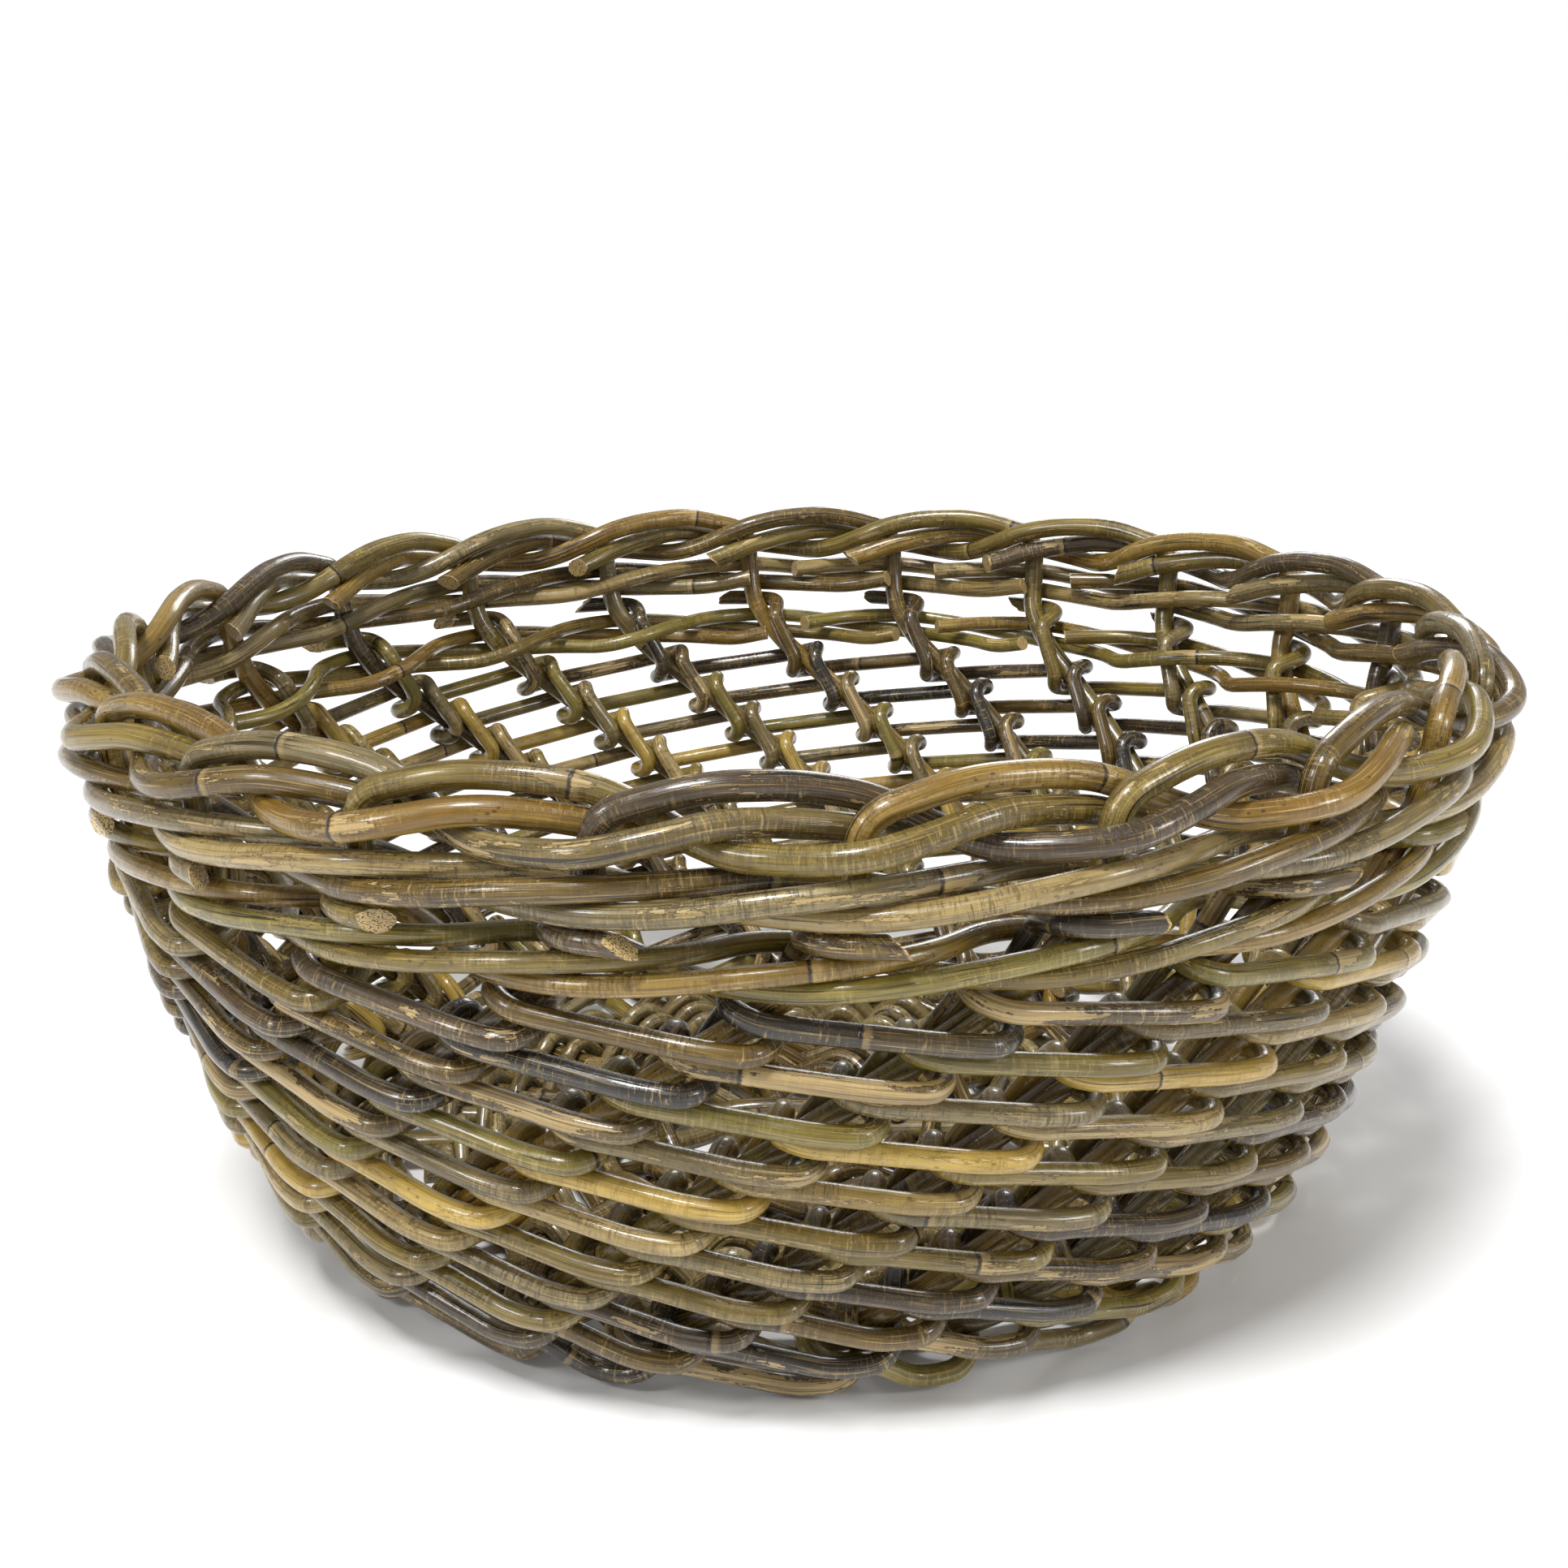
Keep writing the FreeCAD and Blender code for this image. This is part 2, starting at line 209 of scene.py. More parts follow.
class StemPaint:
    """Paints rattan skin from the attributes that the stem's mesh carries."""

    COAT = 0.45
    COAT_ROUGHNESS = 0.09
    SATURATION = 1.18

    def __init__(self) -> None:
        """Starts with no material made."""
        self.made: dict[Bark, bpy.types.Material] = {}

    def material(self, bark: Bark) -> bpy.types.Material:
        """The material of one kind of stem, made the first time it is asked for.

        Args:
            bark: Which kind.

        Returns:
            Its material.
        """
        if bark not in self.made:
            self.made[bark] = self.paint(bark)
        return self.made[bark]

    def paint(self, bark: Bark) -> bpy.types.Material:
        """Builds the node tree of one kind of stem.

        Args:
            bark: Which kind.

        Returns:
            The new material.
        """
        finish = bark.value
        material = bpy.data.materials.new("rattan_" + bark.name.lower())
        material.use_nodes = True
        graph = Graph(material.node_tree)
        shader = material.node_tree.nodes["Principled BSDF"]
        place = graph.add("ShaderNodeAttribute", attribute_name="place").outputs["Vector"]
        from_node = graph.add("ShaderNodeAttribute", attribute_name="from_node").outputs["Fac"]
        to_end = graph.add("ShaderNodeAttribute", attribute_name="to_end").outputs["Fac"]
        bend = graph.add("ShaderNodeAttribute", attribute_name="bend").outputs["Fac"]
        tone = graph.add("ShaderNodeAttribute", attribute_name="tone").outputs["Fac"]

        # the skin: slow drift along the stem, then streaks, fibres and blotches
        slow = graph.noise(place, (90.0, 90.0, 11.0), 3.0, 0.6)
        drift = graph.ramp(slow, 0.62 - 0.3 * finish.drift, 0.72 - 0.2 * finish.drift)
        skin = graph.mix(drift, finish.skin, finish.blush)
        streaks = graph.noise(place, (1300.0, 1300.0, 16.0), 4.0, 0.65)
        streak = graph.ramp(streaks, 0.46, 0.64)
        blotch = graph.noise(place, (170.0, 170.0, 60.0), 5.0, 0.72)
        shaded = graph.math("MULTIPLY", graph.ramp(blotch, 0.44, 0.62), 0.5)
        dark = graph.math("MAXIMUM", graph.math("MULTIPLY", streak, 0.78), shaded)
        skin = graph.mix(dark, skin, finish.shade)
        fibres = graph.noise(place, (2100.0, 2100.0, 40.0), 2.0, 0.6)
        light = graph.math("MULTIPLY", graph.ramp(fibres, 0.55, 0.70), 0.5)
        skin = graph.mix(light, skin, WOOD)

        # fine cracks straight across, in zones and at the bends
        fine = graph.noise(place, (190.0, 190.0, 1350.0), 3.0, 0.75)
        zone = graph.noise(place, (70.0, 70.0, 32.0), 2.0, 0.5)
        zone = graph.ramp(zone, 0.40, 0.58, 0.12, 1.0)
        bent = graph.ramp(bend, 25.0, 110.0)
        zone = graph.math("MAXIMUM", zone, bent)
        crack = graph.math("MULTIPLY", graph.ramp(fine, 0.53, 0.64), zone)
        crack = graph.math("MULTIPLY", crack, finish.cracks)
        skin = graph.mix(graph.math("MULTIPLY", crack, 0.9), skin, finish.shade)
        pale_line = graph.math("MULTIPLY", graph.ramp(fine, 0.44, 0.36), zone)
        skin = graph.mix(graph.math("MULTIPLY", pale_line, 0.42), skin, WOOD)

        # long dark grooves where the skin has split
        split = graph.noise(place, (1000.0, 1000.0, 26.0), 2.0, 0.5)
        split_zone = graph.ramp(graph.noise(place, (60.0, 60.0, 16.0), 1.0, 0.5), 0.50, 0.60)
        split = graph.math("MULTIPLY", graph.ramp(split, 0.58, 0.63), split_zone)
        skin = graph.mix(graph.math("MULTIPLY", split, 0.9), skin, RING)

        # black specks, drawn out along the stem
        spread = graph.add("ShaderNodeVectorMath", {0: place, 1: (520.0, 520.0, 300.0)},
                           operation="MULTIPLY")
        cells = graph.add("ShaderNodeTexVoronoi", {"Vector": spread.outputs[0], "Scale": 1.0})
        dot = graph.ramp(cells.outputs["Distance"], 0.14, 0.28, 1.0, 0.0)
        few = graph.ramp(graph.noise(place, (240.0, 240.0, 70.0), 0.0, 0.5), 0.55, 0.61)
        speck = graph.math("MULTIPLY", graph.math("MULTIPLY", dot, few), finish.specks)
        skin = graph.mix(speck, skin, RING)

        # peeled skin: pale wood with a torn, darker edge that is notched along the fibres
        peel = graph.noise(place, (220.0, 220.0, 34.0), 5.0, 0.66)
        notches = graph.noise(place, (420.0, 420.0, 700.0), 2.0, 0.6)
        peel = graph.math("MULTIPLY_ADD", graph.math("SUBTRACT", notches, 0.5), 0.11, peel)
        near = graph.ramp(graph.math("ABSOLUTE", from_node), 0.0, 16.0 * MM, 0.07, 0.0)
        peel = graph.math("ADD", peel, near)
        line = 0.665 - 0.20 * finish.peel
        bare = graph.ramp(peel, line, line + 0.008)
        edge = graph.math("SUBTRACT", graph.ramp(peel, line - 0.03, line - 0.015), bare, clamp=True)
        wood = graph.mix(graph.ramp(streaks, 0.42, 0.60, 0.0, 0.65), WOOD, finish.shade)
        skin = graph.mix(graph.math("MULTIPLY", edge, 0.7), skin, finish.shade)
        skin = graph.mix(graph.math("MULTIPLY", bare, 0.8), skin, wood)

        # a dark ring at each joint of the stem, a paler collar on one side of it
        wobble = graph.math("MULTIPLY", graph.math("SUBTRACT", blotch, 0.5), 2.4 * MM)
        ring_place = graph.math("ADD", from_node, wobble)
        ring = graph.ramp(graph.math("ABSOLUTE", ring_place), 0.2 * MM, 0.8 * MM, 1.0, 0.0)
        collar = graph.math("MULTIPLY", graph.ramp(ring_place, 0.4 * MM, 1.0 * MM),
                            graph.ramp(ring_place, 1.8 * MM, 3.2 * MM, 1.0, 0.0))
        scorch = graph.math("MULTIPLY", graph.ramp(ring_place, -14.0 * MM, -0.5 * MM),
                            graph.ramp(ring_place, -0.4 * MM, 0.2 * MM, 1.0, 0.0))
        skin = graph.mix(graph.math("MULTIPLY", scorch, 0.5), skin, finish.shade)
        skin = graph.mix(graph.math("MULTIPLY", collar, 0.3), skin, WOOD)
        skin = graph.mix(graph.math("MULTIPLY", ring, 0.92), skin, RING)

        # cut ends show pale, stringy wood
        end = graph.ramp(to_end, 0.25 * MM, 1.0 * MM, 1.0, 0.0)
        strings = graph.noise(place, (2600.0, 2600.0, 200.0), 1.0, 0.5)
        stringy = graph.mix(graph.ramp(strings, 0.45, 0.65), WOOD, finish.shade)
        skin = graph.mix(end, skin, stringy)
        toned = graph.add("ShaderNodeHueSaturation",
                          {"Saturation": self.SATURATION, "Value": tone, "Color": skin})
        graph.feed(shader.inputs["Base Color"], toned.outputs[0])

        rough = graph.math("MULTIPLY_ADD", blotch, 0.16, finish.roughness - 0.08)
        rough = graph.math("MULTIPLY_ADD", graph.math("MAXIMUM", bare, end), 0.18, rough)
        rough = graph.math("MULTIPLY_ADD", crack, 0.12, rough)
        graph.feed(shader.inputs["Roughness"], rough)
        shader.inputs["Coat Weight"].default_value = self.COAT
        shader.inputs["Coat Roughness"].default_value = self.COAT_ROUGHNESS
        shader.inputs["Specular IOR Level"].default_value = 0.5

        height = graph.math("MULTIPLY_ADD", streaks, 0.6, graph.math("MULTIPLY", fibres, 0.35))
        height = graph.math("MULTIPLY_ADD", crack, -0.35, height)
        height = graph.math("MULTIPLY_ADD", split, -0.7, height)
        height = graph.math("MULTIPLY_ADD", bare, -0.4, height)
        height = graph.math("MULTIPLY_ADD", ring, -0.6, height)
        height = graph.math("MULTIPLY_ADD", speck, -0.3, height)
        height = graph.math("MULTIPLY_ADD", strings, graph.math("MULTIPLY", end, 0.8), height)
        bump = graph.add("ShaderNodeBump", {"Height": height, "Distance": 0.35 * MM, "Strength": 0.7})
        graph.feed(shader.inputs["Normal"], bump.outputs[0])
        return material


# ---- where the canes go -------------------------------------------------------
def unit(vector: np.ndarray) -> np.ndarray:
    """The vector at length one."""
    return vector / np.linalg.norm(vector)


def radial(angle: float, radius: float, height: float) -> np.ndarray:
    """A point at an angle and a distance from the basket's axis."""
    return np.array((radius * math.cos(angle), radius * math.sin(angle), height))


@dataclass
class Cane:
    """One cane: what it is called, where it runs and how thick it is, in millimetres."""

    node: str
    points: list
    radius: float
    slot: str
    bark: Bark = Bark.OLIVE
    tone: float = 1.0
    slant: float = 0.3


@dataclass
class Wall:
    """The leaning wall: the surface that the stakes lie on, in millimetres."""

    rim_diameter: float = 480.0
    height: float = 206.0
    stakes: int = 22
    stake: float = 8.0
    weaver: float = 6.5
    upper_wale: float = 7.0
    lower_wale: float = 6.2
    base_cane: float = 6.0
    base_stick: float = 8.0
    row_pitch: float = 13.4
    lean_per_row: float = 4.35
    air: float = 0.22
    foot_shift: float = 1.5
    rim_tilt: float = 0.016
    outline: tuple = ((133.0, 0.0), (148.0, 0.0), (154.5, 0.010), (160.0, 0.028), (169.0, 0.085),
                      (177.0, 0.160), (184.0, 0.248), (191.0, 0.348), (197.0, 0.447), (203.0, 0.547),
                      (208.5, 0.647), (213.5, 0.747), (218.0, 0.841), (222.0, 0.918), (225.2, 0.974),
                      (226.6, 1.03), (226.8, 1.10))
    profile: np.ndarray = field(init=False)
    run: np.ndarray = field(init=False)

    def __post_init__(self) -> None:
        """Works out the levels and the outline."""
        self.step = 2.0 * math.pi / self.stakes
        self.scale = self.rim_diameter / 480.0
        self.thick = self.stake / 8.0
        self.base_lift = (self.base_stick + self.base_cane) / 2.0 + self.air
        self.z_mid = self.base_lift + self.base_cane / 2.0
        self.z_border = self.height - 11.75 * self.thick
        self.rise_upper = self.upper_wale / 2.0 + 0.46
        self.rise_lower = self.lower_wale / 2.0 + 0.6
        self.z_upper = self.z_border - 11.75 * self.thick - self.rise_upper - self.upper_wale / 2.0
        self.z_lower = (self.z_upper - self.rise_upper - self.upper_wale / 2.0 - self.weaver
                        - 3.0 * self.air - self.rise_lower - self.lower_wale / 2.0)
        self.profile = self.make_profile()
        steps = np.linalg.norm(np.diff(self.profile, axis=0), axis=1)
        self.run = np.concatenate(([0.0], np.cumsum(steps)))
        self.first = self.run[36]
        top = self.run_at(self.z_lower - self.rise_lower - (self.lower_wale + self.weaver) / 2.0 - 1.4)
        self.rows = max(3, int(round((top - self.first) / self.row_pitch + 0.5)))
        self.pitch = (top - self.first) / (self.rows - 0.5)

    def make_profile(self) -> np.ndarray:
        """Runs a smooth curve through the outline.

        Returns:
            Dense points along it, as radius and height.
        """
        top = self.z_border - 12.0 * self.thick
        marks = [(r * self.scale, self.z_mid + t * (top - self.z_mid)) for r, t in self.outline]
        marks = np.array(marks)
        dense = []
        for i in range(len(marks) - 1):
            p0, p1, p2 = marks[max(i - 1, 0)], marks[i], marks[i + 1]
            p3 = marks[min(i + 2, len(marks) - 1)]
            for k in range(12):
                t = k / 12.0
                dense.append(0.5 * (2.0 * p1 + (p2 - p0) * t + (2.0 * p0 - 5.0 * p1 + 4.0 * p2 - p3) * t * t
                                    + (3.0 * p1 - p0 - 3.0 * p2 + p3) * t ** 3))
        dense.append(marks[-1])
        return np.array(dense)

    def at(self, run: float) -> tuple[float, float]:
        """Radius and height of the stakes' axis at a length along it."""
        radius = float(np.interp(run, self.run, self.profile[:, 0]))
        return radius, float(np.interp(run, self.run, self.profile[:, 1]))

    def run_at(self, height: float) -> float:
        """Length along the stakes' axis at a height."""
        return float(np.interp(height, self.profile[12:, 1], self.run[12:]))

    def row_run(self, row: float) -> float:
        """Length along the stakes' axis at a row."""
        return self.first + (row - 1.0) * self.pitch

    def row_at(self, run: float) -> float:
        """Row at a length along the stakes' axis."""
        return 1.0 + (run - self.first) / self.pitch

    def lean(self, row: float) -> float:
        """How far round a stake has moved by a row.

        Args:
            row: The row, which may lie between two.

        Returns:
            The turn in radians: none in the base, even up the wall, easing off under the border.
        """
        top, soft, each = self.rows + 0.7, 2.1, self.lean_per_row
        if row < 0.0:
            turned = 0.0
        elif row < 1.0:
            turned = each * 0.5 * row * row
        elif row <= top:
            turned = each * 0.5 + each * (row - 1.0)
        else:
            t = min((row - top) / soft, 1.0)
            turned = each * 0.5 + each * (top - 1.0) + each * soft * (t - 0.5 * t * t)
        return math.radians(turned)

    def angle(self, stake: int, row: float) -> float:
        """Angle of a stake at a row: even at the wall, at the sticks' spacing at the foot."""
        t = min(max((3.6 - row) / 3.8, 0.0), 1.0)
        side = 1 if stake % 2 == 0 else -1
        shift = self.step / 6.0 * side * t * t * (3.0 - 2.0 * t)
        return self.step * (stake + 0.5) + shift + self.lean(row)

    def surface(self, stake: int, row: float) -> np.ndarray:
        """Point on a stake's axis at a row."""
        radius, height = self.at(self.row_run(row))
        return radial(self.angle(stake, row), radius, height)

    def settle(self, point: np.ndarray) -> np.ndarray:
        """Moves a point of the true basket to where the leaning, hand-made one has it."""
        x, y, z = point
        rise = self.rim_tilt * (0.8 * x + 0.6 * y) / (self.rim_diameter / 2.0)
        lifted = z + rise * max(z - 2.0 * self.z_mid, 0.0)
        return np.array((x - self.foot_shift * (1.0 - z / self.height), y, lifted))

    def beside(self, stake: int, row: float, along: float, side: float, out: float) -> np.ndarray:
        """A point beside a stake.

        Args:
            stake: The stake's number.
            row: The row that it is measured from.
            along: Distance up the stake.
            side: Distance to the side, with the turn of the basket.
            out: Distance away from the basket's axis.

        Returns:
            The point.
        """
        ahead, behind = self.surface(stake, row + 0.02), self.surface(stake, row - 0.02)
        row += along / (np.linalg.norm(ahead - behind) / 0.04)
        ahead, behind = self.surface(stake, row + 0.02), self.surface(stake, row - 0.02)
        upward = unit(ahead - behind)
        run = self.row_run(row)
        (r0, z0), (r1, z1) = self.at(max(run - 0.5, 0.001)), self.at(run + 0.5)
        angle = self.angle(stake, row)
        outward = unit(radial(angle, z1 - z0, r0 - r1))
        sideways = unit(np.cross(upward, outward))
        return self.surface(stake, row) + sideways * side + outward * out


@dataclass
class Stakes:
    """The leaning uprights and the plaited border that they turn down into."""

    wall: Wall
    border: tuple = ((0.42, -4.2, 8.1), (0.78, -8.4, 7.2), (1.02, -10.6, 4.2), (1.20, -9.6, -0.4),
                     (1.36, -5.4, -5.3), (1.54, -0.2, -8.45), (1.78, 6.4, -7.6), (2.02, 9.9, -6.0),
                     (2.26, 7.0, -2.5), (2.52, 1.4, 0.75), (2.78, -5.4, -1.4), (3.02, -10.6, -4.6),
                     (3.16, -13.0, -7.8), (3.34, -14.6, -11.0))
    tip_slant: float = 1.3

    def line(self, stake: int) -> list:
        """Route of one stake, from its foot in the base to its cut end in the border.

        Args:
            stake: The stake's number.

        Returns:
            The route's points.
        """
        wall = self.wall
        start = wall.angle(stake, -1.0)
        route = [radial(start, reach * wall.scale, wall.z_mid) for reach in (89.0, 136.0)]
        last = wall.row_at(wall.run_at(wall.z_border - 15.0 * wall.thick))
        steps = int(round((last - 0.5) / 1.2))
        route.append(wall.surface(stake, -0.15))
        route += [wall.surface(stake, 0.42 + (last - 0.42) * i / steps) for i in range(steps + 1)]
        angle = wall.angle(stake, last)
        rim = wall.profile[-1][0]
        route.append(radial(angle + 0.02 * wall.step, rim - 0.2, wall.z_border + wall.thick))
        for turn, out, rise in self.border:
            route.append(radial(angle + turn * wall.step, rim + out * wall.thick,
                                wall.z_border + rise * wall.thick))
        return route

    def canes(self) -> list[Cane]:
        """All the stakes."""
        return [Cane("stake_%02d" % (j + 1), self.line(j), self.wall.stake / 2.0, "border_cane",
                     slant=self.tip_slant)
                for j in range(self.wall.stakes)]


@dataclass
class Weavers:
    """The wrapped weavers: each takes a full turn round a stake and goes on to the next, a row higher.

    A wrap on the foot climbs evenly. Higher up it doubles back, so that its inside bits lie side by side.
    Each pair below has how far up the stake three corners lie, then how far in, aside and out they are.
    """

    EVEN_IN = ((7.2, 6.4, 8.4), (0.8, 2.9, -5.4))
    DOUBLED_IN = ((6.6, 2.8, 4.8), (0.3, 3.5, -3.9))
    EVEN_OUT = ((-8.6, -6.6, -6.4), (0.8, 2.9, -5.0))
    DOUBLED_OUT = ((-6.6, -4.6, -7.2), (0.3, 3.5, -3.9))
    wall: Wall
    tail_slant: float = 2.3

    def line(self, index: int) -> list:
        """Route of one weaver, from its butt inside the foot to its cut tail under the upper wale.

        Args:
            index: The stake that it starts at.

        Returns:
            The route's points.
        """
        wall = self.wall
        k = wall.weaver / 6.8
        inside = (wall.stake + wall.weaver) / 2.0 + wall.air
        start, end, side = inside, inside + 3.6 * k, inside + 0.4
        route = [wall.beside(index, 1.0, k, k, -inside - 1.7)]
        for row in range(wall.rows + 1):
            stake = index + row
            if row > 0:
                even = row in (1, wall.rows)
                (u1, u2, u3), (v2, v3, w2) = self.EVEN_IN if even else self.DOUBLED_IN
                deep = -inside - (1.35 if row == 1 else 0.6)
                wide = side + (0.55 if row == 1 else 0.1 if row < 4 else 0.0)
                route += [wall.beside(stake, row, -6.0 * k, -6.6 * k, end - 0.2),
                          wall.beside(stake, row, 3.6 * k, 4.0 * k, end),
                          wall.beside(stake, row, u1 * k, wide + 0.3, 3.2 * k),
                          wall.beside(stake, row, u2 * k, wide - v2, w2 * k),
                          wall.beside(stake, row, u3 * k, v3 * k, deep)]
            if row < wall.rows:
                top = row + 1.5
                even = row in (0, wall.rows - 1)
                (u1, u2, u3), (v2, v3, w2) = self.EVEN_OUT if even else self.DOUBLED_OUT
                deep = -inside - (1.1 if row < 2 else 0.6)
                wide = side + (0.1 if row < 4 else 0.0)
                route += [wall.beside(stake, top, u1 * k, -v3 * k, deep),
                          wall.beside(stake, top, u2 * k, v2 - wide, w2 * k),
                          wall.beside(stake, top, u3 * k, -wide, 3.2 * k),
                          wall.beside(stake, top, -1.6 * k, -2.2 * k, start),
                          wall.beside(stake, top, 5.8 * k, 6.6 * k, start - 0.2)]
        stake = index + wall.rows
        height = wall.z_lower + wall.rise_lower + (wall.lower_wale + wall.weaver) / 2.0 + 1.5 * wall.air
        row = wall.row_at(wall.run_at(height + 0.6))
        route.append(wall.beside(stake, row, -11.0 * k, -4.6 * k, -inside - 1.6))
        radius = wall.at(wall.row_run(row))[0]
        angle = wall.angle(stake, row)
        for along, out, rise in ((-side - 2.8, -6.0 * k, -2.2), (-side - 3.2, 3.6 * k, 0.0),
                                 (-2.4, start + 1.8, 0.0), (8.0 * k, start + 3.0, 0.0),
                                 (16.5 * k, start + 4.6, -0.1)):
            route.append(radial(angle + along / radius, radius + out, height + rise))
        return route

    def canes(self) -> list[Cane]:
        """All the weavers."""
        return [Cane("weaver_%02d" % (j + 1), self.line(j), self.wall.weaver / 2.0, "weaver_cane",
                     slant=self.tail_slant)
                for j in range(self.wall.stakes)]


@dataclass
class Wales:
    """The two bands of three-rod waling under the border."""

    wall: Wall

    def line(self, first: int, z: float, rise: float, inner: float, outer: float, turns: float) -> list:
        """Route of one waling cane: behind one stake, then in front of two.

        Args:
            first: The stake that it starts behind.
            z: Height of the band's middle.
            rise: How far it goes above and below that.
            inner: How far inside the stakes it passes.
            outer: How far outside the stakes it passes.
            turns: Its length, in stakes.

        Returns:
            The route's points.
        """
        wall = self.wall
        shape = ((0.0, -inner, 0.15), (0.30, -inner * 0.72, -0.80), (0.62, outer * 0.2, -1.03),
                 (1.0, outer, -1.0), (1.34, outer + 1.3, -0.45), (1.66, outer + 1.3, 0.45),
                 (2.0, outer, 1.0), (2.38, outer * 0.2, 1.03), (2.70, -inner * 0.72, 0.90))
        route = []
        for period in range(int(turns // 3) + 1):
            for t, out, up in shape:
                done = 3 * period + t
                if done > turns:
                    continue
                height = z + up * rise
                run = wall.run_at(height)
                angle = wall.step * (first + done + 0.5) + wall.lean(wall.row_at(run))
                route.append(radial(angle, wall.at(run)[0] + out, height))
        return route

    def canes(self) -> list[Cane]:
        """Plans the six waling canes.

        Returns:
            The canes, an upper and a lower one in turn.
        """
        wall = self.wall
        made = []
        off = (wall.stake + wall.upper_wale) / 2.0 + wall.air + 1.4
        deep = wall.stake / 2.0 + wall.weaver + wall.lower_wale / 2.0 + 3.0 * wall.air + 3.8
        front = (wall.stake + wall.lower_wale) / 2.0 + wall.air + 1.4
        for number, letter in enumerate("abc"):
            turns = wall.stakes + (1.72 if number == 0 else -1.28)
            route = self.line(number, wall.z_upper, wall.rise_upper, off, off, turns)
            made.append(Cane("upper_wale_" + letter, route, wall.upper_wale / 2.0, "wale_cane"))
            route = self.line(number, wall.z_lower, wall.rise_lower, deep, front, turns)
            made.append(Cane("lower_wale_" + letter, route, wall.lower_wale / 2.0, "wale_cane"))
        return made


@dataclass
class Base:
    """The round base: crossed sticks, woven rings and the canes that lock the stakes' feet."""

    wall: Wall

    def __post_init__(self) -> None:
        """Counts the spokes that the crossed sticks fan out to."""
        self.spokes = self.wall.stakes // 2

    def spiral(self, r0: float, r1: float, rods: int, end_trim: float) -> list:
        """Route of a cane wound outwards over and under rods.

        Args:
            r0: Radius where it starts.
            r1: Radius where it ends.
            rods: How many rods it crosses in a turn.
            end_trim: How far past its last rod it goes, as a share of the gap between two.

        Returns:
            The route's points.
        """
        wall = self.wall
        crossings = int((r1 - r0) / (wall.base_cane + 0.4) * rods)
        gap = 2.0 * math.pi / rods
        route = []
        for i in range(crossings + 1):
            angle = gap * i
            radius = r0 + (r1 - r0) * i / crossings
            height = wall.z_mid + (1 if i % 2 == 0 else -1) * wall.base_lift
            flat = min(0.45 * wall.base_stick / radius, gap * 0.22)
            route.append(radial(angle - (flat if i else gap * end_trim), radius, height))
            route.append(radial(angle + flat, radius, height))
        route.append(radial(angle + gap * end_trim, radius, height))
        return route

    def ring(self, radius: float, phase: int, trim: float) -> list:
        """Route of an upsett cane: once round the stakes' feet, over one and under one.

        Args:
            radius: Its radius.
            phase: 0 if it starts over a stake, 1 if under.
            trim: How far past the stake each end goes, as a share of the gap between two.

        Returns:
            The route's points.
        """
        wall = self.wall
        route = []
        for i in range(wall.stakes):
            angle = wall.angle(i, -1.0)
            height = wall.z_mid + (1 if (i + phase) % 2 == 0 else -1) * wall.base_lift
            before = trim * wall.step if i == 0 else 3.5 / radius
            after = trim * wall.step if i == wall.stakes - 1 else 3.5 / radius
            route += [radial(angle - before, radius, height), radial(angle + after, radius, height)]
        return route

    def stick(self, ends: tuple, offset: float, upper: bool, along_x: bool) -> list:
        """Route of a base stick: level across the middle, fanned out to its spokes.

        Args:
            ends: The spokes at its two ends, the second None for a half stick.
            offset: Its distance from the middle of its layer.
            upper: Whether it lies in the upper layer.
            along_x: Whether it crosses the middle along x.

        Returns:
            The route's points.
        """
        wall = self.wall
        z = wall.z_mid + (wall.base_stick / 2.0 + 0.1) * (1 if upper else -1)
        flat = 15.0

        def middle(reach: float) -> np.ndarray:
            """The point where it leaves the level part."""
            return np.array((reach, offset, z) if along_x else (offset, reach, z))

        turn = 2.0 * math.pi / self.spokes
        route = [radial(turn * ends[0], 130.5 * wall.scale, wall.z_mid),
                 radial(turn * ends[0], 33.0, wall.z_mid), middle(flat)]
        if ends[1] is None:
            route.append(middle(1.0 - flat))
            return route
        route += [middle(-flat), radial(turn * ends[1], 33.0, wall.z_mid),
                  radial(turn * ends[1], 130.5 * wall.scale, wall.z_mid)]
        return route

    def canes(self) -> list[Cane]:
        """Plans all the canes of the base.

        Returns:
            The sticks, the woven canes and the upsett canes.
        """
        wall = self.wall
        gap = wall.stake + 1.0
        sticks = (("base_stick_1", (1, 5), gap, True), ("base_stick_2", (0, 6), 0.0, True),
                  ("base_stick_3", (-1, 7), -gap, True), ("base_stick_4", (2, 9), gap, False),
                  ("base_stick_5", (3, 8), 0.0, False), ("base_half_stick", (4, None), -gap, False))
        made = [Cane(name, self.stick(ends, offset, across, across), wall.base_stick / 2.0, "base_cane")
                for name, ends, offset, across in sticks]
        thin = wall.base_cane / 2.0
        made.append(Cane("base_weave_inner", self.spiral(41.5, 84.0 * wall.scale, self.spokes, 0.16),
                         thin, "base_cane"))
        made.append(Cane("base_weave_outer",
                         self.spiral(93.5 * wall.scale, 126.0 * wall.scale, 3 * self.spokes, 0.22),
                         thin, "base_cane"))
        made.append(Cane("upsett_cane_inner", self.ring(139.6 * wall.scale, 0, 0.16), thin, "base_cane"))
        made.append(Cane("upsett_cane_outer", self.ring(146.2 * wall.scale, 1, 0.14), thin, "base_cane"))
        return made


